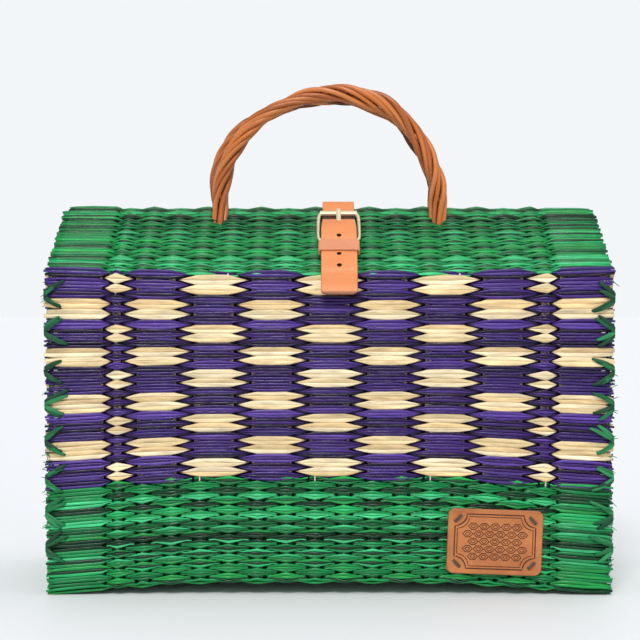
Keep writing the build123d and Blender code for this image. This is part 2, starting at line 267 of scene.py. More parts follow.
# carries a section along stations of (centre, across, out, half width, half thickness)
def sweep(bundle, stations, section, colour=(1, 1, 1), closed=False, edges=None, uvOffset=0.0):
    count = len(section)
    first = len(bundle["points"])
    lengths = [0.0]
    for number, (centre, across, out, width, thick) in enumerate(stations):
        for a, b in section:
            bundle["points"].append(centre + across * (a * width) + out * (b * thick))
        if number:
            lengths.append(lengths[-1] + (centre - stations[number - 1][0]).length)
        bundle["colours"].extend([colour[number] if isinstance(colour, list) else colour] * count)
        bundle["edges"].extend(edges or [0.0] * count)
    rings = len(stations)
    for ring in range(rings if closed else rings - 1):
        following = (ring + 1) % rings
        start = lengths[ring] + uvOffset
        end = lengths[ring + 1] + uvOffset if ring + 1 < rings else start + 0.002
        for number in range(count):
            after = (number + 1) % count
            bundle["faces"].append((first + ring * count + number, first + ring * count + after,
                                    first + following * count + after, first + following * count + number))
            around, beyond = number / count, (number + 1) / count
            bundle["uvs"].extend([(start, around), (start, beyond), (end, beyond), (end, around)])
    if not closed:
        last = first + (rings - 1) * count
        bundle["faces"].append(tuple(first + number for number in reversed(range(count))))
        bundle["faces"].append(tuple(last + number for number in range(count)))
        bundle["uvs"].extend([(uvOffset, 0.5)] * (2 * count))


def buildPiece(name, bundle, material, body, nodes=(), smooth=True):
    mesh = bpy.data.meshes.new(name)
    mesh.from_pydata([tuple(point) for point in bundle["points"]], [], bundle["faces"])
    uv = mesh.uv_layers.new(name="along")
    uv.data.foreach_set("uv", [value for pair in bundle["uvs"] for value in pair])
    tone = mesh.attributes.new("reedColour", "FLOAT_COLOR", "POINT")
    tone.data.foreach_set("color", [value for colour in bundle["colours"] for value in (*colour, 1.0)])
    if any(bundle["edges"]):
        cut = mesh.attributes.new("cutEdgeAndShade", "FLOAT", "POINT")
        cut.data.foreach_set("value", bundle["edges"])
    work = bmesh.new()
    work.from_mesh(mesh)
    bmesh.ops.recalc_face_normals(work, faces=work.faces)
    work.to_mesh(mesh)
    work.free()
    if smooth:
        mesh.polygons.foreach_set("use_smooth", [True] * len(mesh.polygons))
    mesh.materials.append(material)
    piece = bpy.data.objects.new(name, mesh)
    bpy.context.collection.objects.link(piece)
    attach(piece, body)
    if nodes:
        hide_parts(*nodes)
    return piece


weave = {
    "twillAmplitude": 0.00150, "plainAmplitude": 0.00165, "reedHalfThick": 0.00105,
    "firstPitch": 0.0035, "firstRows": 11, "pitch": 0.00318, "patternRows": 45, "patternStart": -0.002,
    "plainPitch": 0.0035, "virtualGap": 0.0115,
    "endJitter": 0.0024, "endSlack": 0.001, "reedsPerPick": 3,
    # the shade factor on the next line darkens the narrow hidden parts of the picks as painted shade
    "behind": 0.8, "paintedShadeBehind": 0.22, "endTaper": 0.7, "plainTip": 0.36, "fullTip": 0.62,
    "endRunIn": 0.006, "knot": 0.98, "shoulder": 0.93, "belly": 1.05,
    "stringHalf": 0.00055, "coreDepth": -0.0005, "coreShare": 0.31,
    # the cores' near-black colours are painted shade in the gaps between the picks
    "corePaintedShades": {"twill": (0.014, 0.007, 0.040), "plain": (0.001, 0.026, 0.008)},
}
# share of the way to the next cord, level from front (1) to back (-1), width of the pick
crossing = [(0.0, 1, 0.98), (0.12, 1, 0.86), (0.28, 0.95, 0.64), (0.42, 0.7, 0.43), (0.55, 0.25, 0.23),
            (0.68, -0.45, 0.09), (0.82, -1, 0.35)]
reedShades = {
    "natural": [(0.88, 0.67, 0.36), (0.93, 0.74, 0.44), (0.83, 0.60, 0.30), (0.95, 0.78, 0.50)],
    "purple": [(0.040, 0.012, 0.155), (0.060, 0.022, 0.21), (0.10, 0.045, 0.31), (0.022, 0.006, 0.07),
               (0.050, 0.014, 0.17), (0.014, 0.004, 0.035)],
    "green": [(0.002, 0.20, 0.048), (0.004, 0.27, 0.068), (0.012, 0.40, 0.115), (0.045, 0.55, 0.20),
              (0.0004, 0.045, 0.014), (0.012, 0.36, 0.070), (0.0008, 0.11, 0.028)],
}
patternNatural = (0, 2, 5, 7)   # rows of ten that are left undyed
# how far a pick's or a reed's own values differ, and how far it wanders and waves along its length
uneven = {
    "pickPlace": 0.0001, "pickTone": (0.75, 1.15), "swell": (0.93, 1.05),
    "reedTone": (0.85, 1.12), "reedSize": (0.9, 1.08), "reedLift": (-0.00012, 0.00018),
    "wander": 0.00024, "wanderScale": 22, "wave": 0.00018, "waveScale": 30,
    "looseFrom": 0.155, "looseOver": 0.045, "looser": 2.2,
}
# towards its ends the mat bows: the fold rises and the lower rows come down with the bag's corners
bowing = {"start": 0.085, "leftPower": 1.25, "foldRise": 0.0028, "drop": 0.0110, "dropShare": 0.72,
          "recover": 0.0002}


def bow(x):
    reach = max(0.0, (abs(x) - bowing["start"]) / (bag["halfWidth"] - bowing["start"]))
    return reach ** (bowing["leftPower"] if x < 0 else 1.0)


def wallShift(share, lift):
    fold, drop, turn = bowing["foldRise"], bowing["drop"], bowing["dropShare"]
    if share < turn:
        return lift * (fold - drop * share / turn)
    return lift * (fold - drop + bowing["recover"] * (share - turn) / (1 - turn))


wallLength = bag["foldZ"] - bag["baseMiddle"] - bag["baseRise"] - bag["cornerRadius"]
cornerLength = math.pi / 2 * bag["cornerRadius"]
baseLength = 2 * (bag["wallY"] - bag["cornerRadius"])
matLength = 2 * wallLength + 2 * cornerLength + baseLength


def placeOnBody(t, x, out):
    mirrored = t > matLength / 2
    if mirrored:
        t = matLength - t
    lift = bow(x)
    radius = bag["cornerRadius"]
    cornerZ = bag["baseMiddle"] + bag["baseRise"] * (1 - lift) + radius
    if t < wallLength:
        share = t / wallLength
        z = bag["foldZ"] - t + wallShift(share, lift)
        y, normal, along = -bag["wallY"], (0, -1, 0), (0, 0, -1)
    elif t < wallLength + cornerLength:
        angle = (t - wallLength) / radius
        y = -bag["wallY"] + radius - radius * math.cos(angle)
        z = cornerZ - radius * math.sin(angle)
        normal = (0, -math.cos(angle), -math.sin(angle))
        along = (0, math.sin(angle), -math.cos(angle))
    else:
        y = -bag["wallY"] + radius + t - wallLength - cornerLength
        z = cornerZ - radius
        normal, along = (0, 0, -1), (0, 1, 0)
    point, normal, along = Vector((x, y, z)), Vector(normal), Vector(along)
    if mirrored:
        point.y, normal.y, along.y = -point.y, -normal.y, -along.y
    return point + normal * out, along, normal


def placeOnFlap(side):
    cos, sin = math.cos(bag["slope"]), math.sin(bag["slope"])

    def place(t, x, out):
        t = t + bowing["foldRise"] * bow(x) * (1 - t / bag["slopeLength"])
        x = x * (1 - bag["flapNarrowing"] * t / bag["slopeLength"])
        y = -bag["wallY"] + t * cos - out * sin
        z = bag["foldZ"] + t * sin + out * cos
        along, normal = Vector((0, -side * cos, sin)), Vector((0, side * sin, cos))
        return Vector((x, -side * y, z)), along, normal
    return place


def placeOnEnd(side):
    def place(t, y, out):
        return Vector((side * (bag["endX"] + out), y, t)), Vector((0, 0, 1)), Vector((side, 0, 0))
    return place


def overSide(style, shed, index, count):
    if index < 0 or index >= count:
        edge = 0 if index < 0 else count - 1
        return -overSide(style, shed, edge, count)
    parity = index % 2 if style == "plain" else ((index + 1) // 2) % 2
    return 1 if parity == shed else -1


def passStations(style, shed, anchors, half):
    count = len(anchors)
    gap = weave["virtualGap"]
    places = [(-half, -1), (anchors[0] - gap, -1)]
    places += [(x, number) for number, x in enumerate(anchors)]
    places += [(anchors[-1] + gap, count), (half, count)]
    places = [place for place in places if abs(place[0]) <= half + 1e-6]
    stations = []
    for (start, first), (end, second) in zip(places, places[1:]):
        a = overSide(style, shed, first, count)
        b = overSide(style, shed, second, count)
        span = end - start
        if a == b:
            full = 1.0 if a > 0 or style == "plain" else weave["behind"]
            outerStart = weave["endTaper"] if first == -1 and start < anchors[0] - gap - 1e-6 else full
            stations.append((start, a, outerStart * (weave["knot"] if full == 1.0 else 1.0), 0.0))
            if first == -1 and outerStart != full:
                stations.append((start + weave["endRunIn"], a, full * weave["shoulder"], 0.0))
            stations.append(((start + end) / 2, a, full * weave["belly"], 1.0))
            if second == count and end > anchors[-1] + gap + 1e-6:
                stations.append((end - weave["endRunIn"], a, full * weave["shoulder"], 0.0))
            continue
        if style == "plain":
            for share in (0.0, 0.25, 0.5, 0.75):
                spread = weave["plainTip"] + (1 - weave["plainTip"]) * abs(share - 0.5) / 0.5
                stations.append((start + span * share, a * math.cos(math.pi * share), spread, 0.0))
            continue
        profile = crossing
        if a < 0:
            stations.append((start, -1, weave["behind"], 0.0))
            profile = [(1 - share, level, spread) for share, level, spread in crossing[:0:-1]]
        for share, level, spread in profile:
            stations.append((start + span * share, level, spread, 0.0))
    last = overSide(style, shed, places[-1][1], count)
    stations.append((places[-1][0], last, weave["endTaper"], 0.0))
    return stations


def weaveRow(bundle, row, anchors, place, rng, sides=6):
    stations = passStations(row["style"], row["shed"], anchors, row["half"])
    full = row.get("full", False)
    count = weave["reedsPerPick"] - (1 if row["colour"] == "natural" else 0)
    amplitude = weave["plainAmplitude"] if row["style"] == "plain" else weave["twillAmplitude"]
    amplitude *= row.get("calm", 1.0)
    section = ovalSection(sides, 0.75)
    jitter = rng.uniform(-uneven["pickPlace"], uneven["pickPlace"])
    mood = rng.uniform(*uneven["pickTone"])
    swells = [rng.uniform(*uneven["swell"]) for station in stations]
    for number in range(count):
        colour = rng.choice(reedShades[row["colour"]])
        tone = rng.uniform(*uneven["reedTone"]) * (mood if row["colour"] != "natural" else 1.0)
        colour = tuple(channel * tone for channel in colour)
        seed = rng.uniform(0, 100)
        lane = number - (count - 1) / 2
        size = rng.uniform(*uneven["reedSize"])
        lift = rng.uniform(*uneven["reedLift"])
        trimLeft, trimRight = rng.uniform(0, weave["endJitter"]), rng.uniform(0, weave["endJitter"])
        ring = []
        for order, (x, level, width, bulge) in enumerate(stations):
            width = max(width, weave["fullTip"] if full else 0.0) * swells[order]
            lanePitch = width * row["pitch"] / count
            loose = 1 + uneven["looser"] * max(0.0, (abs(x) - uneven["looseFrom"]) / uneven["looseOver"])
            wander = noise.noise(Vector((x * uneven["wanderScale"], seed, 0))) * uneven["wander"] * loose
            t = row["t"] + jitter + lane * lanePitch + wander
            crown = 0.00022 * (1 - abs(lane)) if count > 2 else 0.0
            out = amplitude * level * (1 + 0.12 * bulge) + crown * width * (1 if level > 0 else -1) + lift
            out += noise.noise(Vector((x * uneven["waveScale"], seed, 7))) * uneven["wave"]
            if order == 0:
                x += trimLeft - weave["endSlack"]
            elif order == len(stations) - 1:
                x -= trimRight - weave["endSlack"]
            centre, along, normal = place(t, x, out)
            high = 0.5 * lanePitch * (1.22 if row["colour"] == "natural" else 1.12) * size
            thick = weave["reedHalfThick"] * (0.45 + 0.55 * width) * size
            ring.append((centre, along, normal, high, thick))
        # where a pick runs narrow behind the others, its reeds are darkened as painted shade
        paintedShadeColour = tuple(channel * weave["paintedShadeBehind"] for channel in colour)
        shades = [paintedShadeColour if level < -0.3 and width < 0.3 and not full else colour
                  for x, level, width, bulge in stations]
        sweep(bundle, ring, section, shades, uvOffset=seed)


def bodyRows():
    rows = []
    t = weave["patternStart"]
    for number in range(weave["patternRows"]):
        pitch = weave["firstPitch"] if number < weave["firstRows"] else weave["pitch"]
        natural = number > 0 and (number - 1) % 10 in patternNatural
        rows.append({"t": t + pitch / 2, "pitch": 2 * pitch, "style": "twill", "shed": (number + 1) % 2,
                     "colour": "natural" if natural else "purple", "half": bag["halfWidth"]})
        t += pitch
    patternEnd = t
    plainCount = round((matLength - 2 * patternEnd) / weave["plainPitch"])
    pitch = (matLength - 2 * patternEnd) / plainCount
    back = [dict(row, t=matLength - row["t"], full=True) for row in reversed(rows)]
    for number in range(plainCount):
        t = patternEnd + (number + 0.5) * pitch
        underneath = wallLength + cornerLength / 2 < t < matLength - wallLength - cornerLength / 2
        rows.append({"t": t, "pitch": 2 * pitch, "style": "plain", "shed": number % 2, "colour": "green",
                     "half": bag["halfWidth"], "calm": 0.65 if underneath else 1.0,
                     "full": t > wallLength})
    return rows + back


def addStrings(bundle, rows, anchors, place, rng, inset=0.0):
    section = ovalSection(5, 1.0)
    for index, x in enumerate(anchors):
        ring = []
        seed = rng.uniform(0, 50)
        for row in rows:
            if abs(x) > row["half"] - inset:
                continue
            level = -0.0005 * overSide(row["style"], row["shed"], index, len(anchors))
            centre, along, normal = place(row["t"], x, level)
            ring.append((centre, along.cross(normal), normal, weave["stringHalf"], 0.0005))
        if len(ring) > 2:
            sweep(bundle, ring, section, uvOffset=seed)


# flat strips that stand in the middle of the mat, behind the open tips of the picks, and close the gaps;
# their near-black colour is painted shade in the gaps
def addCores(bundle, style, anchors, low, high, place):
    places = [anchors[0] - weave["virtualGap"], *anchors, anchors[-1] + weave["virtualGap"]]
    count = len(anchors)
    for number, (start, end) in enumerate(zip(places, places[1:])):
        if overSide(style, 0, number - 1, count) == overSide(style, 0, number, count):
            continue
        ring = []
        for step in range(13):
            t = low + (high - low) * step / 12
            centre, along, normal = place(t, (start + end) / 2, weave["coreDepth"])
            ring.append((centre, along.cross(normal), normal, weave["coreShare"] * (end - start), 0.0003))
        section = [(-1, -1), (1, -1), (1, 1), (-1, 1)]
        sweep(bundle, ring, section, weave["corePaintedShades"][style], uvOffset=number)


def weaveBody():
    rng = random.Random(4)
    rows = bodyRows()
    parts = {"frontWallReeds": (-1, wallLength + cornerLength / 2, 6),
             "baseReeds": (wallLength + cornerLength / 2, matLength - wallLength - cornerLength / 2, 5),
             "backWallReeds": (matLength - wallLength - cornerLength / 2, matLength + 1, 5)}
    for name, (low, high, sides) in parts.items():
        bundle = newBundle()
        for row in rows:
            if low <= row["t"] < high:
                weaveRow(bundle, row, warps, placeOnBody, rng, sides)
        if name == "frontWallReeds":
            patternEnd = rows[weave["patternRows"]]["t"]
            addCores(bundle, "twill", warps, 0.001, patternEnd, placeOnBody)
            addCores(bundle, "plain", warps, patternEnd, wallLength, placeOnBody)
        buildPiece(name, bundle, reedMaterial, "basket", ["body_mat"])
    strings = newBundle()
    addStrings(strings, rows, warps, placeOnBody, rng)
    buildPiece("bodyWarpStrings", strings, stringMaterial, "basket", ["body_mat"])
    print("stage: body mat woven, rows", len(rows))


def weaveFlap(side, node, body):
    rng = random.Random(11 if side < 0 else 12)
    count = round(bag["slopeLength"] / weave["plainPitch"])
    pitch = bag["slopeLength"] / count
    rows = []
    for number in range(count):
        t = (number + 0.5) * pitch
        half = bag["halfWidth"]
        fromRidge = bag["slopeLength"] - t
        corner = bag["flapCorner"]
        if fromRidge < corner:
            half -= corner - math.sqrt(max(0.0, corner ** 2 - (corner - fromRidge) ** 2))
        rows.append({"t": t, "pitch": 2 * pitch, "style": "plain", "shed": (number + 1) % 2,
                     "colour": "green", "half": half, "calm": 0.4 if fromRidge < 0.0085 else 1.0})
    bundle = newBundle()
    for row in rows:
        weaveRow(bundle, row, warps, placeOnFlap(side), rng)
    addCores(bundle, "plain", warps, 0.002, bag["slopeLength"] - 0.004, placeOnFlap(side))
    buildPiece(node + "Reeds", bundle, reedMaterial, body, [node])
    strings = newBundle()
    addStrings(strings, [dict(rows[0], t=-0.001)] + rows, warps, placeOnFlap(side), rng)
    buildPiece(node + "Strings", strings, stringMaterial, body, [node])


endMat = {
    "start": 0.0075, "footHeight": 0.012, "footHalf": 0.066, "sideGap": 0.0006,
    "gableBelow": 0.005, "gableGap": 0.0046, "leastHalf": 0.0025, "edgeGap": 0.004,
}


# rows from the base up to the gable's tip, between the walls and then under the flaps
def weaveEnd(side, node):
    rng = random.Random(21 if side < 0 else 22)
    rows = []
    z = endMat["start"]
    number = 0
    tangent = math.tan(bag["slope"])
    while True:
        half = bag["halfInside"] - endMat["sideGap"]
        if z > bag["foldZ"] - endMat["gableBelow"]:
            half = min(half, bag["wallY"] - (z - bag["foldZ"] + endMat["gableGap"]) / tangent)
        if z < endMat["footHeight"]:
            half = min(half, endMat["footHalf"])
        if half < endMat["leastHalf"]:
            break
        rows.append({"t": z, "pitch": 2 * weave["plainPitch"], "style": "plain", "shed": number % 2,
                     "colour": "green", "half": half, "full": True})
        z += weave["plainPitch"]
        number += 1
    bundle = newBundle()
    for row in rows:
        anchors = [y for y in endWarps if abs(y) < row["half"] - endMat["edgeGap"]] or [0.0]
        weaveRow(bundle, row, anchors, placeOnEnd(side), rng, 5)
    buildPiece(node + "Reeds", bundle, reedMaterial, "basket", [node])
    strings = newBundle()
    addStrings(strings, rows, endWarps, placeOnEnd(side), rng, endMat["edgeGap"])
    buildPiece(node + "Strings", strings, stringMaterial, "basket", [node])


def makeStringMaterial():
    material, nodes, links, shader = startMaterial("cottonString")
    uv = nodes.new("ShaderNodeUVMap")
    uv.uv_map = "along"
    twist = noiseNode(nodes, links, uv.outputs["UV"], 1.0, 2.0, 0.5, (900, 4, 1))
    turns = rangeNode(nodes, links, twist, 0.0, 1.0)
    tone = mixColour(nodes, links, turns, (0.60, 0.55, 0.44), (0.90, 0.87, 0.78))
    links.new(tone, shader.inputs["Base Color"])
    shader.inputs["Roughness"].default_value = 0.85
    bumpNode(nodes, links, shader, twist, 0.5, 0.0004)
    return material


stringMaterial = makeStringMaterial()
weaveBody()
weaveFlap(-1, "front_flap", "front_lid")
weaveFlap(1, "back_flap", "back_lid")
weaveEnd(-1, "left_end_mat")
weaveEnd(1, "right_end_mat")
print("stage: flaps and ends woven")


handle = {
    "radius": 0.0815, "plane": 0.013, "archZ": 0.281, "tailZ": 0.246, "shoots": 7, "steps": 110,
    "orbit": 0.0047, "shoot": 0.0021, "turns": 2.6,
    # humps of (size, angle on the arch, spread): how open the twist is, and how far out its middle runs
    "openings": ((-0.34, 1.13, 0.3), (0.14, 1.95, 0.4)),
    "bulges": ((-0.0008, 1.13, 0.4), (0.0022, 2.1, 0.35)),
    "backBulge": ((0.0062, 0.5, 0.42),), "frontLean": ((0.005, 0.0, 0.6),), "leanDepth": 0.02,
}
willowShades = [(0.43, 0.110, 0.018), (0.66, 0.21, 0.046), (0.17, 0.036, 0.006), (0.55, 0.155, 0.028)]


# where a shoot is at a share of the handle's length: angle on the arch, depth below it, turn of the twist
def handlePath(share, phase):
    leg = handle["archZ"] - handle["tailZ"]
    arch = math.pi * handle["radius"]
    distance = share * (arch + 2 * leg) - leg
    onArch = min(max(distance, 0.0), arch)
    angle = onArch / handle["radius"]
    below = distance - onArch
    turn = phase - 2 * math.pi * handle["turns"] * (onArch + 0.35 * below) / arch
    return angle, abs(below), turn


def humps(value, shapes):
    return sum(size * math.exp(-((value - middle) / spread) ** 2) for size, middle, spread in shapes)


def makeHandle(side, name, body, nodes):
    rng = random.Random(31 if side < 0 else 37)
    bundle = newBundle()
    steps = handle["steps"]
    for number in range(handle["shoots"]):
        phase = 2 * math.pi * number / handle["shoots"] + rng.uniform(-0.25, 0.25)
        phase += 0.35 if side > 0 else 0.0
        size = rng.uniform(0.78, 1.22)
        seed = rng.uniform(0, 60)
        shade = rng.choice(willowShades)
        reach = rng.uniform(0.85, 1.1)
        centres = []
        for step in range(steps + 1):
            angle, below, turn = handlePath(step / steps, phase)
            turn += 0.55 * noise.noise(Vector((step * 0.03, seed, 9)))
            wobble = noise.noise(Vector((step * 0.06, seed, 1))) * 0.0013
            orbit = handle["orbit"] * reach * (1 + humps(angle, handle["openings"])) + wobble
            middle = handle["radius"] + humps(angle, handle["bulges"])
            if side > 0:
                middle += humps(angle, handle["backBulge"])
            radial = middle + orbit * math.cos(turn)
            x = -radial * math.cos(angle)
            z = handle["archZ"] + radial * math.sin(angle) - below
            lean = 0.0
            if side < 0:
                lean = humps(angle, handle["frontLean"]) * max(0.0, 1 - below / handle["leanDepth"])
            y = side * handle["plane"] + lean + orbit * math.sin(turn)
            centres.append(Vector((x, y, z)))
        ring = []
        for step, centre in enumerate(centres):
            along = tangentAt(centres, step)
            across = along.cross(Vector((0, 1, 0))).normalized()
            out = along.cross(across).normalized()
            radius = handle["shoot"] * size * (1 + 0.10 * noise.noise(Vector((step * 0.10, seed, 4))))
            ring.append((centre, across, out, radius, radius * 0.92))
        sweep(bundle, ring, ovalSection(9, 1.0), shade, uvOffset=seed)
    return buildPiece(name, bundle, willowMaterial, body, nodes)


makeHandle(-1, "frontHandleShoots", "front_lid", [f"front_handle_strand_{n}" for n in range(1, 5)])
makeHandle(1, "backHandleShoots", "back_lid", [f"back_handle_strand_{n}" for n in range(1, 5)])
print("stage: handles twisted")


# distances run down the front flap from the ridge, and outs stand off its outer face
clasp = {
    "centreX": 0.007, "slopeLine": 0.08845, "matHalf": 0.0025,
    "strapHalf": 0.013, "strapThick": 0.0012, "tailDistance": 0.046,
    "underOut": 0.0015, "overOut": 0.0090, "keptOut": 0.0068, "hangY": -0.0810, "hangZ": 0.2160,
    "barDistance": 0.018, "heelDistance": 0.054, "heelOut": 0.0043,
    "keeperDistance": 0.0600, "keeperLength": 0.013, "keeperHalf": 0.0142, "keeperDeep": 0.0020,
    "keeperCorner": 0.0014, "keeperThick": 0.0007,
    "holeRadius": 0.0018, "prongHole": 0.0272, "freeHoles": (0.0283, 0.0487),
}


def onSlope(distance, out):
    along, lift = clasp["slopeLine"] - distance, clasp["matHalf"] + out
    cos, sin = math.cos(bag["slope"]), math.sin(bag["slope"])
    y = -bag["wallY"] + along * cos - lift * sin
    return Vector((clasp["centreX"], y, bag["foldZ"] + along * sin + lift * cos))


slopeNormal = Vector((0, -math.sin(bag["slope"]), math.cos(bag["slope"])))
slopeUp = (onSlope(0.02, 0) - onSlope(0.03, 0)).normalized()


# rounds each corner of a line, reach to either side of it
def softPath(points, reach, steps=6):
    path = [points[0]]
    for before, here, after in zip(points, points[1:], points[2:]):
        start = here + (before - here).normalized() * min(reach, (before - here).length * 0.48)
        end = here + (after - here).normalized() * min(reach, (after - here).length * 0.48)
        for step in range(steps + 1):
            share = step / steps
            path.append(start.lerp(here, share).lerp(here.lerp(end, share), share))
    path.append(points[-1])
    return path


# the same line with its points an even step apart
def evenPath(points, step):
    lengths = [0.0]
    for before, after in zip(points, points[1:]):
        lengths.append(lengths[-1] + (after - before).length)
    count = max(2, round(lengths[-1] / step))
    path, segment = [], 0
    for number in range(count + 1):
        distance = lengths[-1] * number / count
        while segment < len(points) - 2 and lengths[segment + 1] < distance:
            segment += 1
        span = lengths[segment + 1] - lengths[segment]
        share = (distance - lengths[segment]) / span if span else 0
        path.append(points[segment].lerp(points[segment + 1], share))
    return path


bandHalf = [(-1, -0.45)] + [(a, -1) for a in (-0.965, -0.6, -0.2, 0.2, 0.6, 0.965)] + [(1, -0.45)]
bandSection = bandHalf + [(-a, -b) for a, b in bandHalf]
bandEdges = [0.45 if abs(a) == 1 else 0.0 for a, b in bandSection]


def ribbonStations(path, across, half, thick, endRound, startRound):
    stations = []
    lengths = [0.0]
    for before, after in zip(path, path[1:]):
        lengths.append(lengths[-1] + (after - before).length)
    for number, centre in enumerate(path):
        out = across.cross(tangentAt(path, number)).normalized()
        width = half - 0.0012 * min(1.0, max(0.0, (centre.z - 0.262) / 0.008))    # worn narrower by the ridge
        for corner, left in ((endRound, lengths[-1] - lengths[number]), (startRound, lengths[number])):
            if left < corner:
                width -= corner - math.sqrt(max(0.0, corner ** 2 - (corner - left) ** 2))
        stations.append((centre, across, out, width, thick))
    return stations


# from its tail on the back flap over the ridge, under the bar, out over the frame and through the keeper
def strapPath():
    ridge = onSlope(0, clasp["underOut"])
    ridge.z -= ridge.y * math.tan(bag["slope"]) - 0.0002
    ridge.y = 0
    tail = onSlope(clasp["tailDistance"], clasp["underOut"])
    tail.y = -tail.y
    bar, heel, keeper = clasp["barDistance"], clasp["heelDistance"], clasp["keeperDistance"]
    x, hangY = clasp["centreX"], clasp["hangY"]
    points = [tail, ridge, onSlope(bar + 0.0075, clasp["underOut"]),
              onSlope(bar + 0.0110, clasp["overOut"] - 0.0036),
              onSlope(heel - 0.013, clasp["overOut"]), onSlope(heel + 0.003, clasp["overOut"]),
              onSlope(keeper - 0.001, clasp["keptOut"]),
              onSlope(keeper + clasp["keeperLength"] + 0.004, clasp["keptOut"]),
              Vector((x, hangY, bag["foldZ"] + 0.004)),
              Vector((x, hangY + 0.0002, clasp["hangZ"] + 0.006)),
              Vector((x, hangY - 0.0022, clasp["hangZ"]))]
    return evenPath(softPath(points, 0.0022), 0.0009)


def punchHole(strap, place, lean, stretch):
    deselectAll()
    radius = clasp["holeRadius"]
    bpy.ops.mesh.primitive_cylinder_add(vertices=20, radius=radius, depth=0.012, location=place)
    cutter = bpy.context.object
    cutter.rotation_euler = lean.to_track_quat("Z", "Y").to_euler()
    cutter.scale = (1, stretch, 1)
    cutter.data.materials.append(burntMaterial)    # the cut face takes the cutter's dark finish
    cut = strap.modifiers.new("hole", "BOOLEAN")
    cut.object = cutter
    cut.operation = "DIFFERENCE"
    cut.solver = "EXACT"
    cut.material_mode = "TRANSFER"
    with bpy.context.temp_override(object=strap, active_object=strap):
        bpy.ops.object.modifier_apply(modifier="hole")
    bpy.data.objects.remove(cutter)


def makeStrap():
    path = strapPath()
    bundle = newBundle()
    across = Vector((-1, 0, 0))
    stations = ribbonStations(path, across, clasp["strapHalf"], clasp["strapThick"], 0.0032, 0.004)
    sweep(bundle, stations, bandSection, edges=bandEdges)
    size = len(bandSection)
    bundle["edges"][-3 * size:] = [0.45] * size + [0.72] * (2 * size)
    # the stretch of strap just below the buckle bar takes the edge colour in full as painted shadow
    paintedShadowStart = onSlope(clasp["barDistance"] + 0.0008, 0).y
    paintedShadowEnd = onSlope(clasp["barDistance"] + 0.0096, 0).y
    for number, centre in enumerate(path):
        if paintedShadowEnd < centre.y < paintedShadowStart:    # painted shadow where the strap dips under the bar
            bundle["edges"][number * size:(number + 1) * size] = [1.0] * size
    strap = buildPiece("strapLeather", bundle, strapLeather, "back_lid", ["strap"])
    punchHole(strap, onSlope(clasp["prongHole"], clasp["overOut"] / 2), slopeNormal, 1.7)
    for hole in clasp["freeHoles"]:
        punchHole(strap, onSlope(clasp["prongHole"] + hole, clasp["keptOut"]), slopeNormal, 1)
    lowest = Vector((clasp["centreX"], clasp["hangY"] - 0.0006, bag["foldZ"] + 0.0092))
    punchHole(strap, lowest, Vector((0, -0.9, 0.45)), 1)
    smoothByAngle(strap, 40)


def makeKeeper():
    centre = onSlope(clasp["keeperDistance"] + clasp["keeperLength"] / 2, clasp["keptOut"])
    corner = clasp["keeperCorner"]
    stations = []
    for side, (signX, signZ) in enumerate([(1, 1), (-1, 1), (-1, -1), (1, -1)]):
        for step in range(6):
            angle = math.pi / 2 * (side + step / 5)
            out = Vector((math.cos(angle), 0, 0)) + slopeNormal * math.sin(angle)
            point = centre + Vector((signX * (clasp["keeperHalf"] - corner), 0, 0)) + out * corner
            point += slopeNormal * (signZ * (clasp["keeperDeep"] - corner))
            stations.append((point, slopeUp, out, clasp["keeperLength"] / 2, clasp["keeperThick"]))
    bundle = newBundle()
    sweep(bundle, stations, bandSection, closed=True, edges=bandEdges)
    keeper = buildPiece("keeperLeather", bundle, ridgeLeather, "front_lid", ["keeper"])
    smoothByAngle(keeper, 50)


buckle = {
    "wireHalf": 0.00125, "wireThick": 0.0013, "barHalf": 0.0137, "barDeep": 0.0020, "barThick": 0.0015,
    "pinHalf": 0.0019, "pinThick": 0.00095, "eyeRadius": 0.0019, "eyeThick": 0.0005,
}
heelBar = onSlope(clasp["heelDistance"], clasp["heelOut"])
buckleLength = clasp["heelDistance"] - clasp["barDistance"]


def makeFrame():
    up, normal, side, length = slopeUp, slopeNormal, Vector((1, 0, 0)), buckleLength
    right = [(0.0124, length - 0.0002), (0.0140, length - 0.0024), (0.0148, length - 0.0070),
             (0.0149, length * 0.5), (0.0149, 0.0062), (0.0146, 0.0020), (0.0125, 0.0), (0.0100, 0.0)]
    loop = right + [(-x, y) for x, y in reversed(right)]
    points = [heelBar + side * x + up * y for x, y in loop]
    path = evenPath(softPath(points, 0.003, 5), 0.0009)
    stations = []
    for number, centre in enumerate(path):
        across = tangentAt(path, number).cross(normal).normalized()
        stations.append((centre, across, normal, buckle["wireHalf"], buckle["wireThick"]))
    bundle = newBundle()
    sweep(bundle, stations, ovalSection(12, 0.85))
    end = buckle["barHalf"]
    stations = []
    for x in (-end, 0.0003 - end, -0.007, 0.0, 0.007, end - 0.0003, end):
        trim = 0.8 if abs(x) == end else 1
        point = heelBar + up * length + side * x
        stations.append((point, up, normal, buckle["barDeep"] * trim, buckle["barThick"] * trim))
    sweep(bundle, stations, ovalSection(16, 0.4))
    piece = buildPiece("buckleFrame", bundle, brassMaterial, "frame", ["buckle_frame"])
    smoothByAngle(piece, 40)


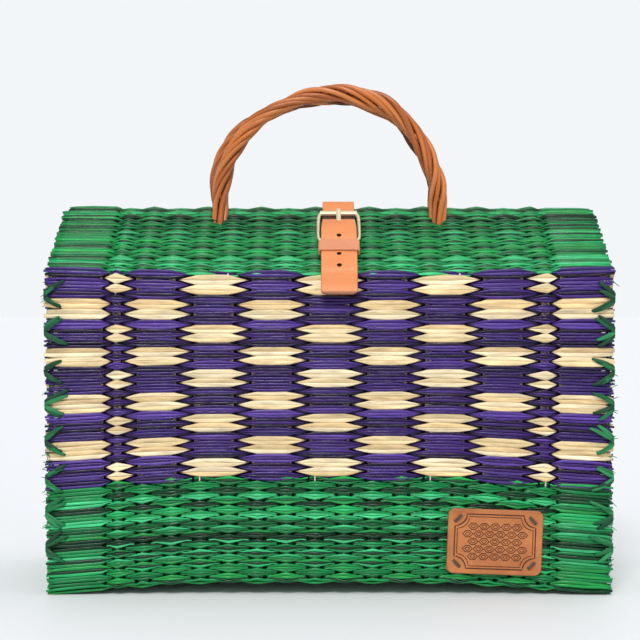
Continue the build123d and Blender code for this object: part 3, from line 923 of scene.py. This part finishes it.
def makePin():
    up, normal, side, length = slopeUp, slopeNormal, Vector((1, 0, 0)), buckleLength
    line = [(0.0005, 0.0014), (0.004, 0.0016), (0.012, 0.0020), (0.024, 0.0027), (length, 0.0028),
            (length + 0.0022, 0.0022), (length + 0.0034, 0.0014)]
    path = evenPath(softPath([heelBar + up * y + normal * z for y, z in line], 0.002, 4), 0.001)
    stations = []
    for number, centre in enumerate(path):
        share = number / (len(path) - 1)
        width = (buckle["pinHalf"] - 0.0002 * share) * (0.75 if share > 0.95 else 1)
        out = side.cross(tangentAt(path, number)).normalized()
        stations.append((centre, side, out, width, buckle["pinThick"]))
    bundle = newBundle()
    sweep(bundle, stations, ovalSection(12, 0.6))
    ring = []
    for step in range(24):    # the eye round the heel bar
        angle = 2 * math.pi * step / 24
        out = up * math.cos(angle) + normal * math.sin(angle)
        place = heelBar + out * buckle["eyeRadius"]
        ring.append((place, side, out, buckle["pinHalf"], buckle["eyeThick"]))
    sweep(bundle, ring, ovalSection(10, 0.6), closed=True)
    piece = buildPiece("bucklePin", bundle, brassMaterial, "prong", ["buckle_prong"])
    smoothByAngle(piece, 45)


stitching = {
    "pitch": 0.0035, "thread": 0.0004, "shade": (0.72, 0.60, 0.42),
    "profile": ((0.08, -0.0004), (0.2, 0.0002), (0.5, 0.0004), (0.8, 0.0002), (0.92, -0.0004)),
    "strap": {"middle": 0.028, "width": 0.018, "length": 0.028, "out": 0.0028},
    "chape": {"middle": 0.0795, "width": 0.014, "length": 0.005, "out": 0.0040},
}


# a rectangle of stitches; on the back flap (side 1) they are mirrored, and lean in and out by turns
def makeRowOfStitches(name, body, node, row, side):
    bundle = newBundle()
    lean = 1
    corners = [(signX * row["width"] / 2, signY * row["length"] / 2)
               for signX, signY in ((-1, -1), (1, -1), (1, 1), (-1, 1))]
    for (ax, ay), (bx, by) in zip(corners, corners[1:] + corners[:1]):
        direction = (Vector((bx - ax, 0, 0)) + slopeUp * (by - ay)).normalized()
        count = max(1, round(math.hypot(bx - ax, by - ay) / stitching["pitch"]))
        for number in range(count):
            facing = Vector((0, lean * slopeNormal.y, slopeNormal.z))
            across = direction.cross(facing).normalized()
            stations = []
            for share, lift in stitching["profile"]:
                along = (number + share) / count
                place = onSlope(row["middle"], row["out"]) + Vector((ax + (bx - ax) * along, 0, 0))
                place += slopeUp * (ay + (by - ay) * along) + facing * lift
                frontOnes = (place, across, facing)
                turned = [Vector((vector.x, -side * vector.y, vector.z)) for vector in frontOnes]
                stations.append((*turned, stitching["thread"], stitching["thread"]))
            sweep(bundle, stations, ovalSection(6, 1.0), stitching["shade"])
            lean = -lean if side > 0 else lean
    buildPiece(name, bundle, twineMaterial, body, [node])


makeStrap()
makeKeeper()
makeFrame()
makePin()
makeRowOfStitches("strapStitches", "back_lid", "strap_stitching", stitching["strap"], 1)
makeRowOfStitches("chapeStitches", "front_lid", "chape_stitching", stitching["chape"], -1)
print("stage: strap and buckle made")


tag = {
    "x": 0.118, "z": 0.0390, "y": -0.0756, "length": 0.068, "height": 0.047, "thick": 0.002,
    "corner": 0.005, "tilt": 2.0, "rim": 0.0035, "curl": 0.0006,
    "stitch": 0.007, "inset": 0.0073, "threadHalf": 0.00052, "threadGap": 0.0009,
    "threadShade": (0.13, 0.09, 0.06),
    "threadProfile": ((-1.0, -0.0008), (-0.92, 0.0002), (-0.6, 0.0007), (0.0, 0.0009), (0.6, 0.0007),
                      (0.92, 0.0002), (1.0, -0.0008)),
    "rimProfile": ((0.0, 0.0), (0.0, 0.0013), (0.0003, 0.0018), (0.0009, 0.0020), (0.0020, 0.0020),
                   (0.0036, 0.0020)),    # inset and height of each ring of the edge
}
outward = Vector((0, -1, 0))
signs = [(1, 1), (-1, 1), (-1, -1), (1, -1)]    # the four corners in turn


# a point on the label, a along it and b up it from its middle
def tagPoint(a, b, depth):
    angle = math.radians(tag["tilt"])
    rim = min(tag["length"] / 2 - abs(a), tag["height"] / 2 - abs(b))
    curl = tag["curl"] * max(0.0, 1 - rim / tag["rim"]) ** 2
    x = tag["x"] + a * math.cos(angle) + b * math.sin(angle)
    z = tag["z"] - a * math.sin(angle) + b * math.cos(angle)
    return Vector((x, tag["y"] - depth - curl, z))


def roundedOutline(length, height, corner, steps=8):
    outline = []
    for side, (cx, cy) in enumerate(signs):
        for step in range(steps + 1):
            angle = math.pi / 2 * (side + step / steps)
            outline.append((cx * (length / 2 - corner) + corner * math.cos(angle),
                            cy * (height / 2 - corner) + corner * math.sin(angle)))
    return outline


def makeTag():
    bundle = newBundle()
    rings = []
    for inset, depth in tag["rimProfile"]:
        length, height = tag["length"] - 2 * inset, tag["height"] - 2 * inset
        outline = roundedOutline(length, height, max(0.0006, tag["corner"] - inset))
        rings.append([tagPoint(a, b, depth) for a, b in outline])
    count = len(rings[0])
    for number, ring in enumerate(rings):
        bundle["points"].extend(ring)
        bundle["colours"].extend([(1, 1, 1)] * count)
        bundle["edges"].extend([1.0 if number < 2 else 0.35 if number == 2 else 0.0] * count)
    for ring in range(len(rings) - 1):
        for number in range(count):
            after = (number + 1) % count
            bundle["faces"].append((ring * count + number, ring * count + after,
                                    (ring + 1) * count + after, (ring + 1) * count + number))
            bundle["uvs"].extend([(0, 0)] * 4)
    bundle["faces"].append(tuple(reversed(range(count))))
    bundle["faces"].append(tuple(range((len(rings) - 1) * count, len(rings) * count)))
    bundle["uvs"].extend([(0, 0)] * (2 * count))
    buildPiece("labelPlate", bundle, labelLeather, "basket", ["label"])


def burnLoop(bundle, points, half):
    places = [tagPoint(a, b, tag["thick"] + 0.00002) for a, b in points]
    stations = []
    for number, centre in enumerate(places):
        along = (places[(number + 1) % len(places)] - places[number - 1]).normalized()
        stations.append((centre, along.cross(outward).normalized(), outward, half, 0.00006))
    sweep(bundle, stations, ovalSection(6, 1.0), closed=True)


# a rectangle with scooped corners
def plaqueOutline(halfLength, halfHeight, notch, steps=7):
    outline = []
    for side, (cx, cy) in enumerate(signs):
        for step in range(steps + 1):
            angle = math.pi / 2 * (side + step / steps)
            inward = math.pi / 2 * side * 2 + math.pi / 2 - angle
            outline.append((cx * halfLength - notch * abs(math.cos(inward)) * cx,
                            cy * halfHeight - notch * abs(math.sin(inward)) * cy))
    return outline


burn = {"plaqueLength": 0.0288, "plaqueHeight": 0.0195, "notch": 0.0085, "pitchX": 0.0078, "pitchY": 0.0054,
        "reach": 0.0225}


# a plain border round a lattice of reed lozenges
def makeBurnedPattern():
    bundle = newBundle()
    for inset, half in ((0.0, 0.00046), (0.0018, 0.00030)):
        plaque = plaqueOutline(burn["plaqueLength"] - inset, burn["plaqueHeight"] - inset, burn["notch"])
        burnLoop(bundle, plaque, half)
    for row in range(-2, 3):
        for column in range(-3, 4):
            cx = column * burn["pitchX"] + (burn["pitchX"] / 2 if row % 2 else 0.0)
            cy = row * burn["pitchY"]
            if abs(cx) + abs(cy) * 0.55 > burn["reach"]:
                continue
            for reach, half in ((0.0036, 0.00036), (0.0018, 0.00030)):
                tall, flat = reach * 0.62, reach * 0.4
                lozenge = [(cx - reach, cy), (cx - flat, cy + tall), (cx + flat, cy + tall),
                           (cx + reach, cy), (cx + flat, cy - tall), (cx - flat, cy - tall)]
                burnLoop(bundle, lozenge, half)
    buildPiece("labelBurnedPattern", bundle, burntMaterial, "basket", ["label"])


def makeTagStitches():
    corners = [(-1, -1), (1, -1), (1, 1), (-1, 1)]
    for number, (sx, sy) in enumerate(corners):
        bundle = newBundle()
        mx = sx * (tag["length"] / 2 - tag["inset"])
        my = sy * (tag["height"] / 2 - tag["inset"])
        half = tag["stitch"] / 2 * math.sqrt(0.5)
        for lane in (-tag["threadGap"] / 2, tag["threadGap"] / 2):
            path = []
            for share, lift in tag["threadProfile"]:
                a = mx + share * half * sx + lane * sx
                b = my - share * half * sy + lane * sy
                path.append(tagPoint(a, b, tag["thick"] + lift))
            stations = []
            for order, centre in enumerate(path):
                along = tangentAt(path, order)
                across = along.cross(outward).normalized()
                out = along.cross(across).normalized()
                stations.append((centre, across, out, tag["threadHalf"], tag["threadHalf"]))
            sweep(bundle, stations, ovalSection(7, 1.0), tag["threadShade"])
        node = f"label_stitch_{number + 1}"
        buildPiece(f"labelThread{number + 1}", bundle, twineMaterial, "basket", [node])


makeTag()
makeBurnedPattern()
makeTagStitches()
print("stage: label made")


lace = {
    "edgeX": 0.2013, "wallY": 0.0768, "low": 0.020, "high": 0.226, "stitches": 8, "reach": 0.0130,
    "halfHeight": 0.0090, "halfWide": 0.00165, "halfThick": 0.00045, "cordHalf": 0.0013,
    "fibres": 26, "fibreHalf": 0.0003, "baseHalf": 0.064, "baseX": 0.2012, "baseZ": 0.0030,
}
laceShades = [(0.001, 0.10, 0.030), (0.004, 0.17, 0.05), (0.0008, 0.055, 0.02), (0.02, 0.26, 0.08)]


# a flat strand, thinner at its ends, that twists a little as it goes
def raffia(bundle, points, rng, half, facing, tone):
    path = evenPath(softPath(points, 0.004, 4), 0.0016)
    seed = rng.uniform(0, 90)
    stations = []
    for number, centre in enumerate(path):
        along = tangentAt(path, number)
        across = along.cross(facing).normalized()
        out = across.cross(along).normalized()
        share = number / (len(path) - 1)
        width = half * (0.55 + 0.45 * math.sin(math.pi * min(1, max(0, share)) ** 0.8))
        twist = 0.5 * noise.noise(Vector((number * 0.15, seed, 0)))
        wide = across * math.cos(twist) + out * math.sin(twist)
        centre = centre + out * 0.0002 * noise.noise(Vector((number * 0.3, seed, 3)))
        stations.append((centre, wide, along.cross(wide).normalized(), width, lace["halfThick"]))
    sweep(bundle, stations, ovalSection(8, 0.9), tone, uvOffset=seed)


def makeCornerLacing(side, front, node):
    rng = random.Random(50 + side * 3 + front)
    bundle = newBundle()
    step = (lace["high"] - lace["low"]) / lace["stitches"]
    facing = Vector((0, front, 0))
    edge = side * lace["edgeX"]
    wall = front * lace["wallY"]
    for number in range(lace["stitches"]):
        z = lace["low"] + (number + 0.5) * step + rng.uniform(-0.002, 0.002)
        for direction in (-1, 1):
            for strand in range(2):
                reach = lace["reach"] * rng.uniform(0.7, 1.25)
                rise = direction * lace["halfHeight"] * rng.uniform(0.7, 1.25)
                shift = (strand - 0.5) * 0.0016
                # how far in over the wall, how far proud of it, and how far up each point is
                line = [(-0.0010, -0.0035, 0), (-0.0004, -0.0003, 0.25), (reach * 0.35, 0.0006, 0.55),
                        (reach * 0.7, 0.0005, 0.84), (reach, -0.0014, 1)]
                points = [Vector((edge - side * inward, wall + front * proud, z + shift + rise * up))
                          for inward, proud, up in line]
                raffia(bundle, points, rng, lace["halfWide"], facing, rng.choice(laceShades))
    for strand in range(3):    # the cord up the edge
        points = []
        for number in range(15):
            z = lace["low"] - 0.006 + (lace["high"] - lace["low"] + 0.012) * number / 14
            angle = number * 1.1 + strand * 2.1
            points.append(Vector((edge - side * (0.0028 - 0.0015 * math.sin(angle)),
                                  wall - front * (0.0055 - 0.0012 * math.cos(angle)), z)))
        corner = Vector((side * 0.7, front * 0.7, 0))
        raffia(bundle, points, rng, lace["cordHalf"], corner, rng.choice(laceShades))
    for fibre in range(lace["fibres"]):    # frayed ends
        z = rng.uniform(lace["low"], lace["high"])
        tipX, tipY, tipZ = rng.uniform(0.001, 0.0042), rng.uniform(-0.002, 0.002), rng.uniform(-0.006, 0.006)
        tip = Vector((side * tipX, front * tipY, tipZ))
        start = Vector((edge - side * 0.002, wall - front * rng.uniform(0, 0.004), z))
        middle, end = start + tip * 0.6 + Vector((0, 0, 0.001)), start + tip + Vector((side * 0.002, 0, 0))
        raffia(bundle, [start, middle, end], rng, lace["fibreHalf"], facing, rng.choice(laceShades))
    buildPiece(node + "Raffia", bundle, twineMaterial, "basket", [node])


def makeBaseLacing(side, node):
    rng = random.Random(70 + side)
    bundle = newBundle()
    for strand in range(3):
        points = []
        for number in range(11):
            y = lace["baseHalf"] * (number / 5 - 1)
            angle = number * 1.3 + strand * 2.1
            x = side * (lace["baseX"] + 0.0006 * math.sin(angle))
            points.append(Vector((x, y, lace["baseZ"] + 0.0008 * math.cos(angle))))
        raffia(bundle, points, rng, lace["cordHalf"], Vector((side, 0, 0)), rng.choice(laceShades))
    buildPiece(node + "Raffia", bundle, twineMaterial, "basket", [node])


tie = {"turns": 5, "radius": 0.0092, "halfHeight": 0.0009, "halfThick": 0.0008, "shade": (0.52, 0.47, 0.30)}


# twine wound round a handle's foot, in the place of the CAD tie
def makeTie(side, front, node, body):
    rng = random.Random(80 + side * 2 + front)
    bundle = newBundle()
    low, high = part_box(node)
    centre = (Vector(low) + Vector(high)) / 2
    for turn in range(tie["turns"]):
        ring = []
        z = low[2] + (turn + 0.5) * (high[2] - low[2]) / tie["turns"]
        for step in range(28):
            angle = 2 * math.pi * step / 28
            out = Vector((math.cos(angle), math.sin(angle), 0))
            lift = 0.0004 * math.sin(angle + turn)
            point = Vector((centre.x, centre.y, z + lift)) + out * tie["radius"]
            ring.append((point, Vector((0, 0, 1)), out, tie["halfHeight"], tie["halfThick"]))
        sweep(bundle, ring, ovalSection(7, 1.0), tie["shade"], closed=True, uvOffset=rng.uniform(0, 9))
    buildPiece(node + "Twine", bundle, twineMaterial, body, [node])


for side, sideName in ((-1, "left"), (1, "right")):
    makeCornerLacing(side, -1, f"{sideName}_front_lacing")
    makeCornerLacing(side, 1, f"{sideName}_back_lacing")
    makeBaseLacing(side, f"{sideName}_base_lacing")
    makeTie(side, -1, f"front_{sideName}_tie", "front_lid")
    makeTie(side, 1, f"back_{sideName}_tie", "back_lid")
print("stage: lacing and ties made")


chape = bpy.data.objects["chape"]    # the folded leather keeps its CAD shape
chape.data.materials.clear()
chape.data.materials.append(ridgeLeather)


# a lamp's place, softness in degrees and power
studio = {
    "floor": (0.83, 0.84, 0.86, 1), "sky": (0.90, 0.92, 0.95, 1), "overhead": 0.45,
    "lamps": {"key": ((-0.15, -1.0, 1.2), 22, 1.9), "top": ((0.3, 0.2, 1.5), 50, 0.6)},
}
camera = {"x": -0.0067, "distance": 1.175, "z": 0.257, "pitch": 2.9, "lens": 93.2}


def setUpStage():
    deselectAll()
    bpy.ops.mesh.primitive_plane_add(size=8, location=(0, 0, 0))
    floor = bpy.context.object
    floor.name = "floor"
    material, nodes, links, shader = startMaterial("paleFloor")
    shader.inputs["Base Color"].default_value = studio["floor"]
    shader.inputs["Roughness"].default_value = 0.6
    floor.data.materials.append(material)
    world = bpy.data.worlds.new("softStudio")
    bpy.context.scene.world = world
    world.use_nodes = True
    sky, links = world.node_tree.nodes, world.node_tree.links
    sky["Background"].inputs["Color"].default_value = studio["sky"]
    split = sky.new("ShaderNodeSeparateXYZ")
    links.new(sky.new("ShaderNodeTexCoord").outputs["Generated"], split.inputs["Vector"])
    strength = rangeNode(sky, links, split.outputs["Z"], 1.0, studio["overhead"], 0.25, 0.6)
    links.new(strength, sky["Background"].inputs["Strength"])
    bpy.context.scene.view_settings.view_transform = "Standard"
    for name, (place, softness, power) in studio["lamps"].items():
        light = bpy.data.lights.new(name, "SUN")
        light.angle = math.radians(softness)
        light.energy = power
        lamp = bpy.data.objects.new(name, light)
        lamp.location = place
        lamp.rotation_euler = (Vector((0, 0, 0)) - Vector(place)).to_track_quat("-Z", "Y").to_euler()
        bpy.context.collection.objects.link(lamp)
    data = bpy.data.cameras.new("camera")
    data.lens = camera["lens"]
    viewer = bpy.data.objects.new("camera", data)
    viewer.location = (camera["x"], -0.075 - camera["distance"], camera["z"])
    viewer.rotation_euler = (math.radians(90 - camera["pitch"]), 0, 0)
    bpy.context.collection.objects.link(viewer)
    bpy.context.scene.camera = viewer


setUpStage()
print("stage: camera and lights set")
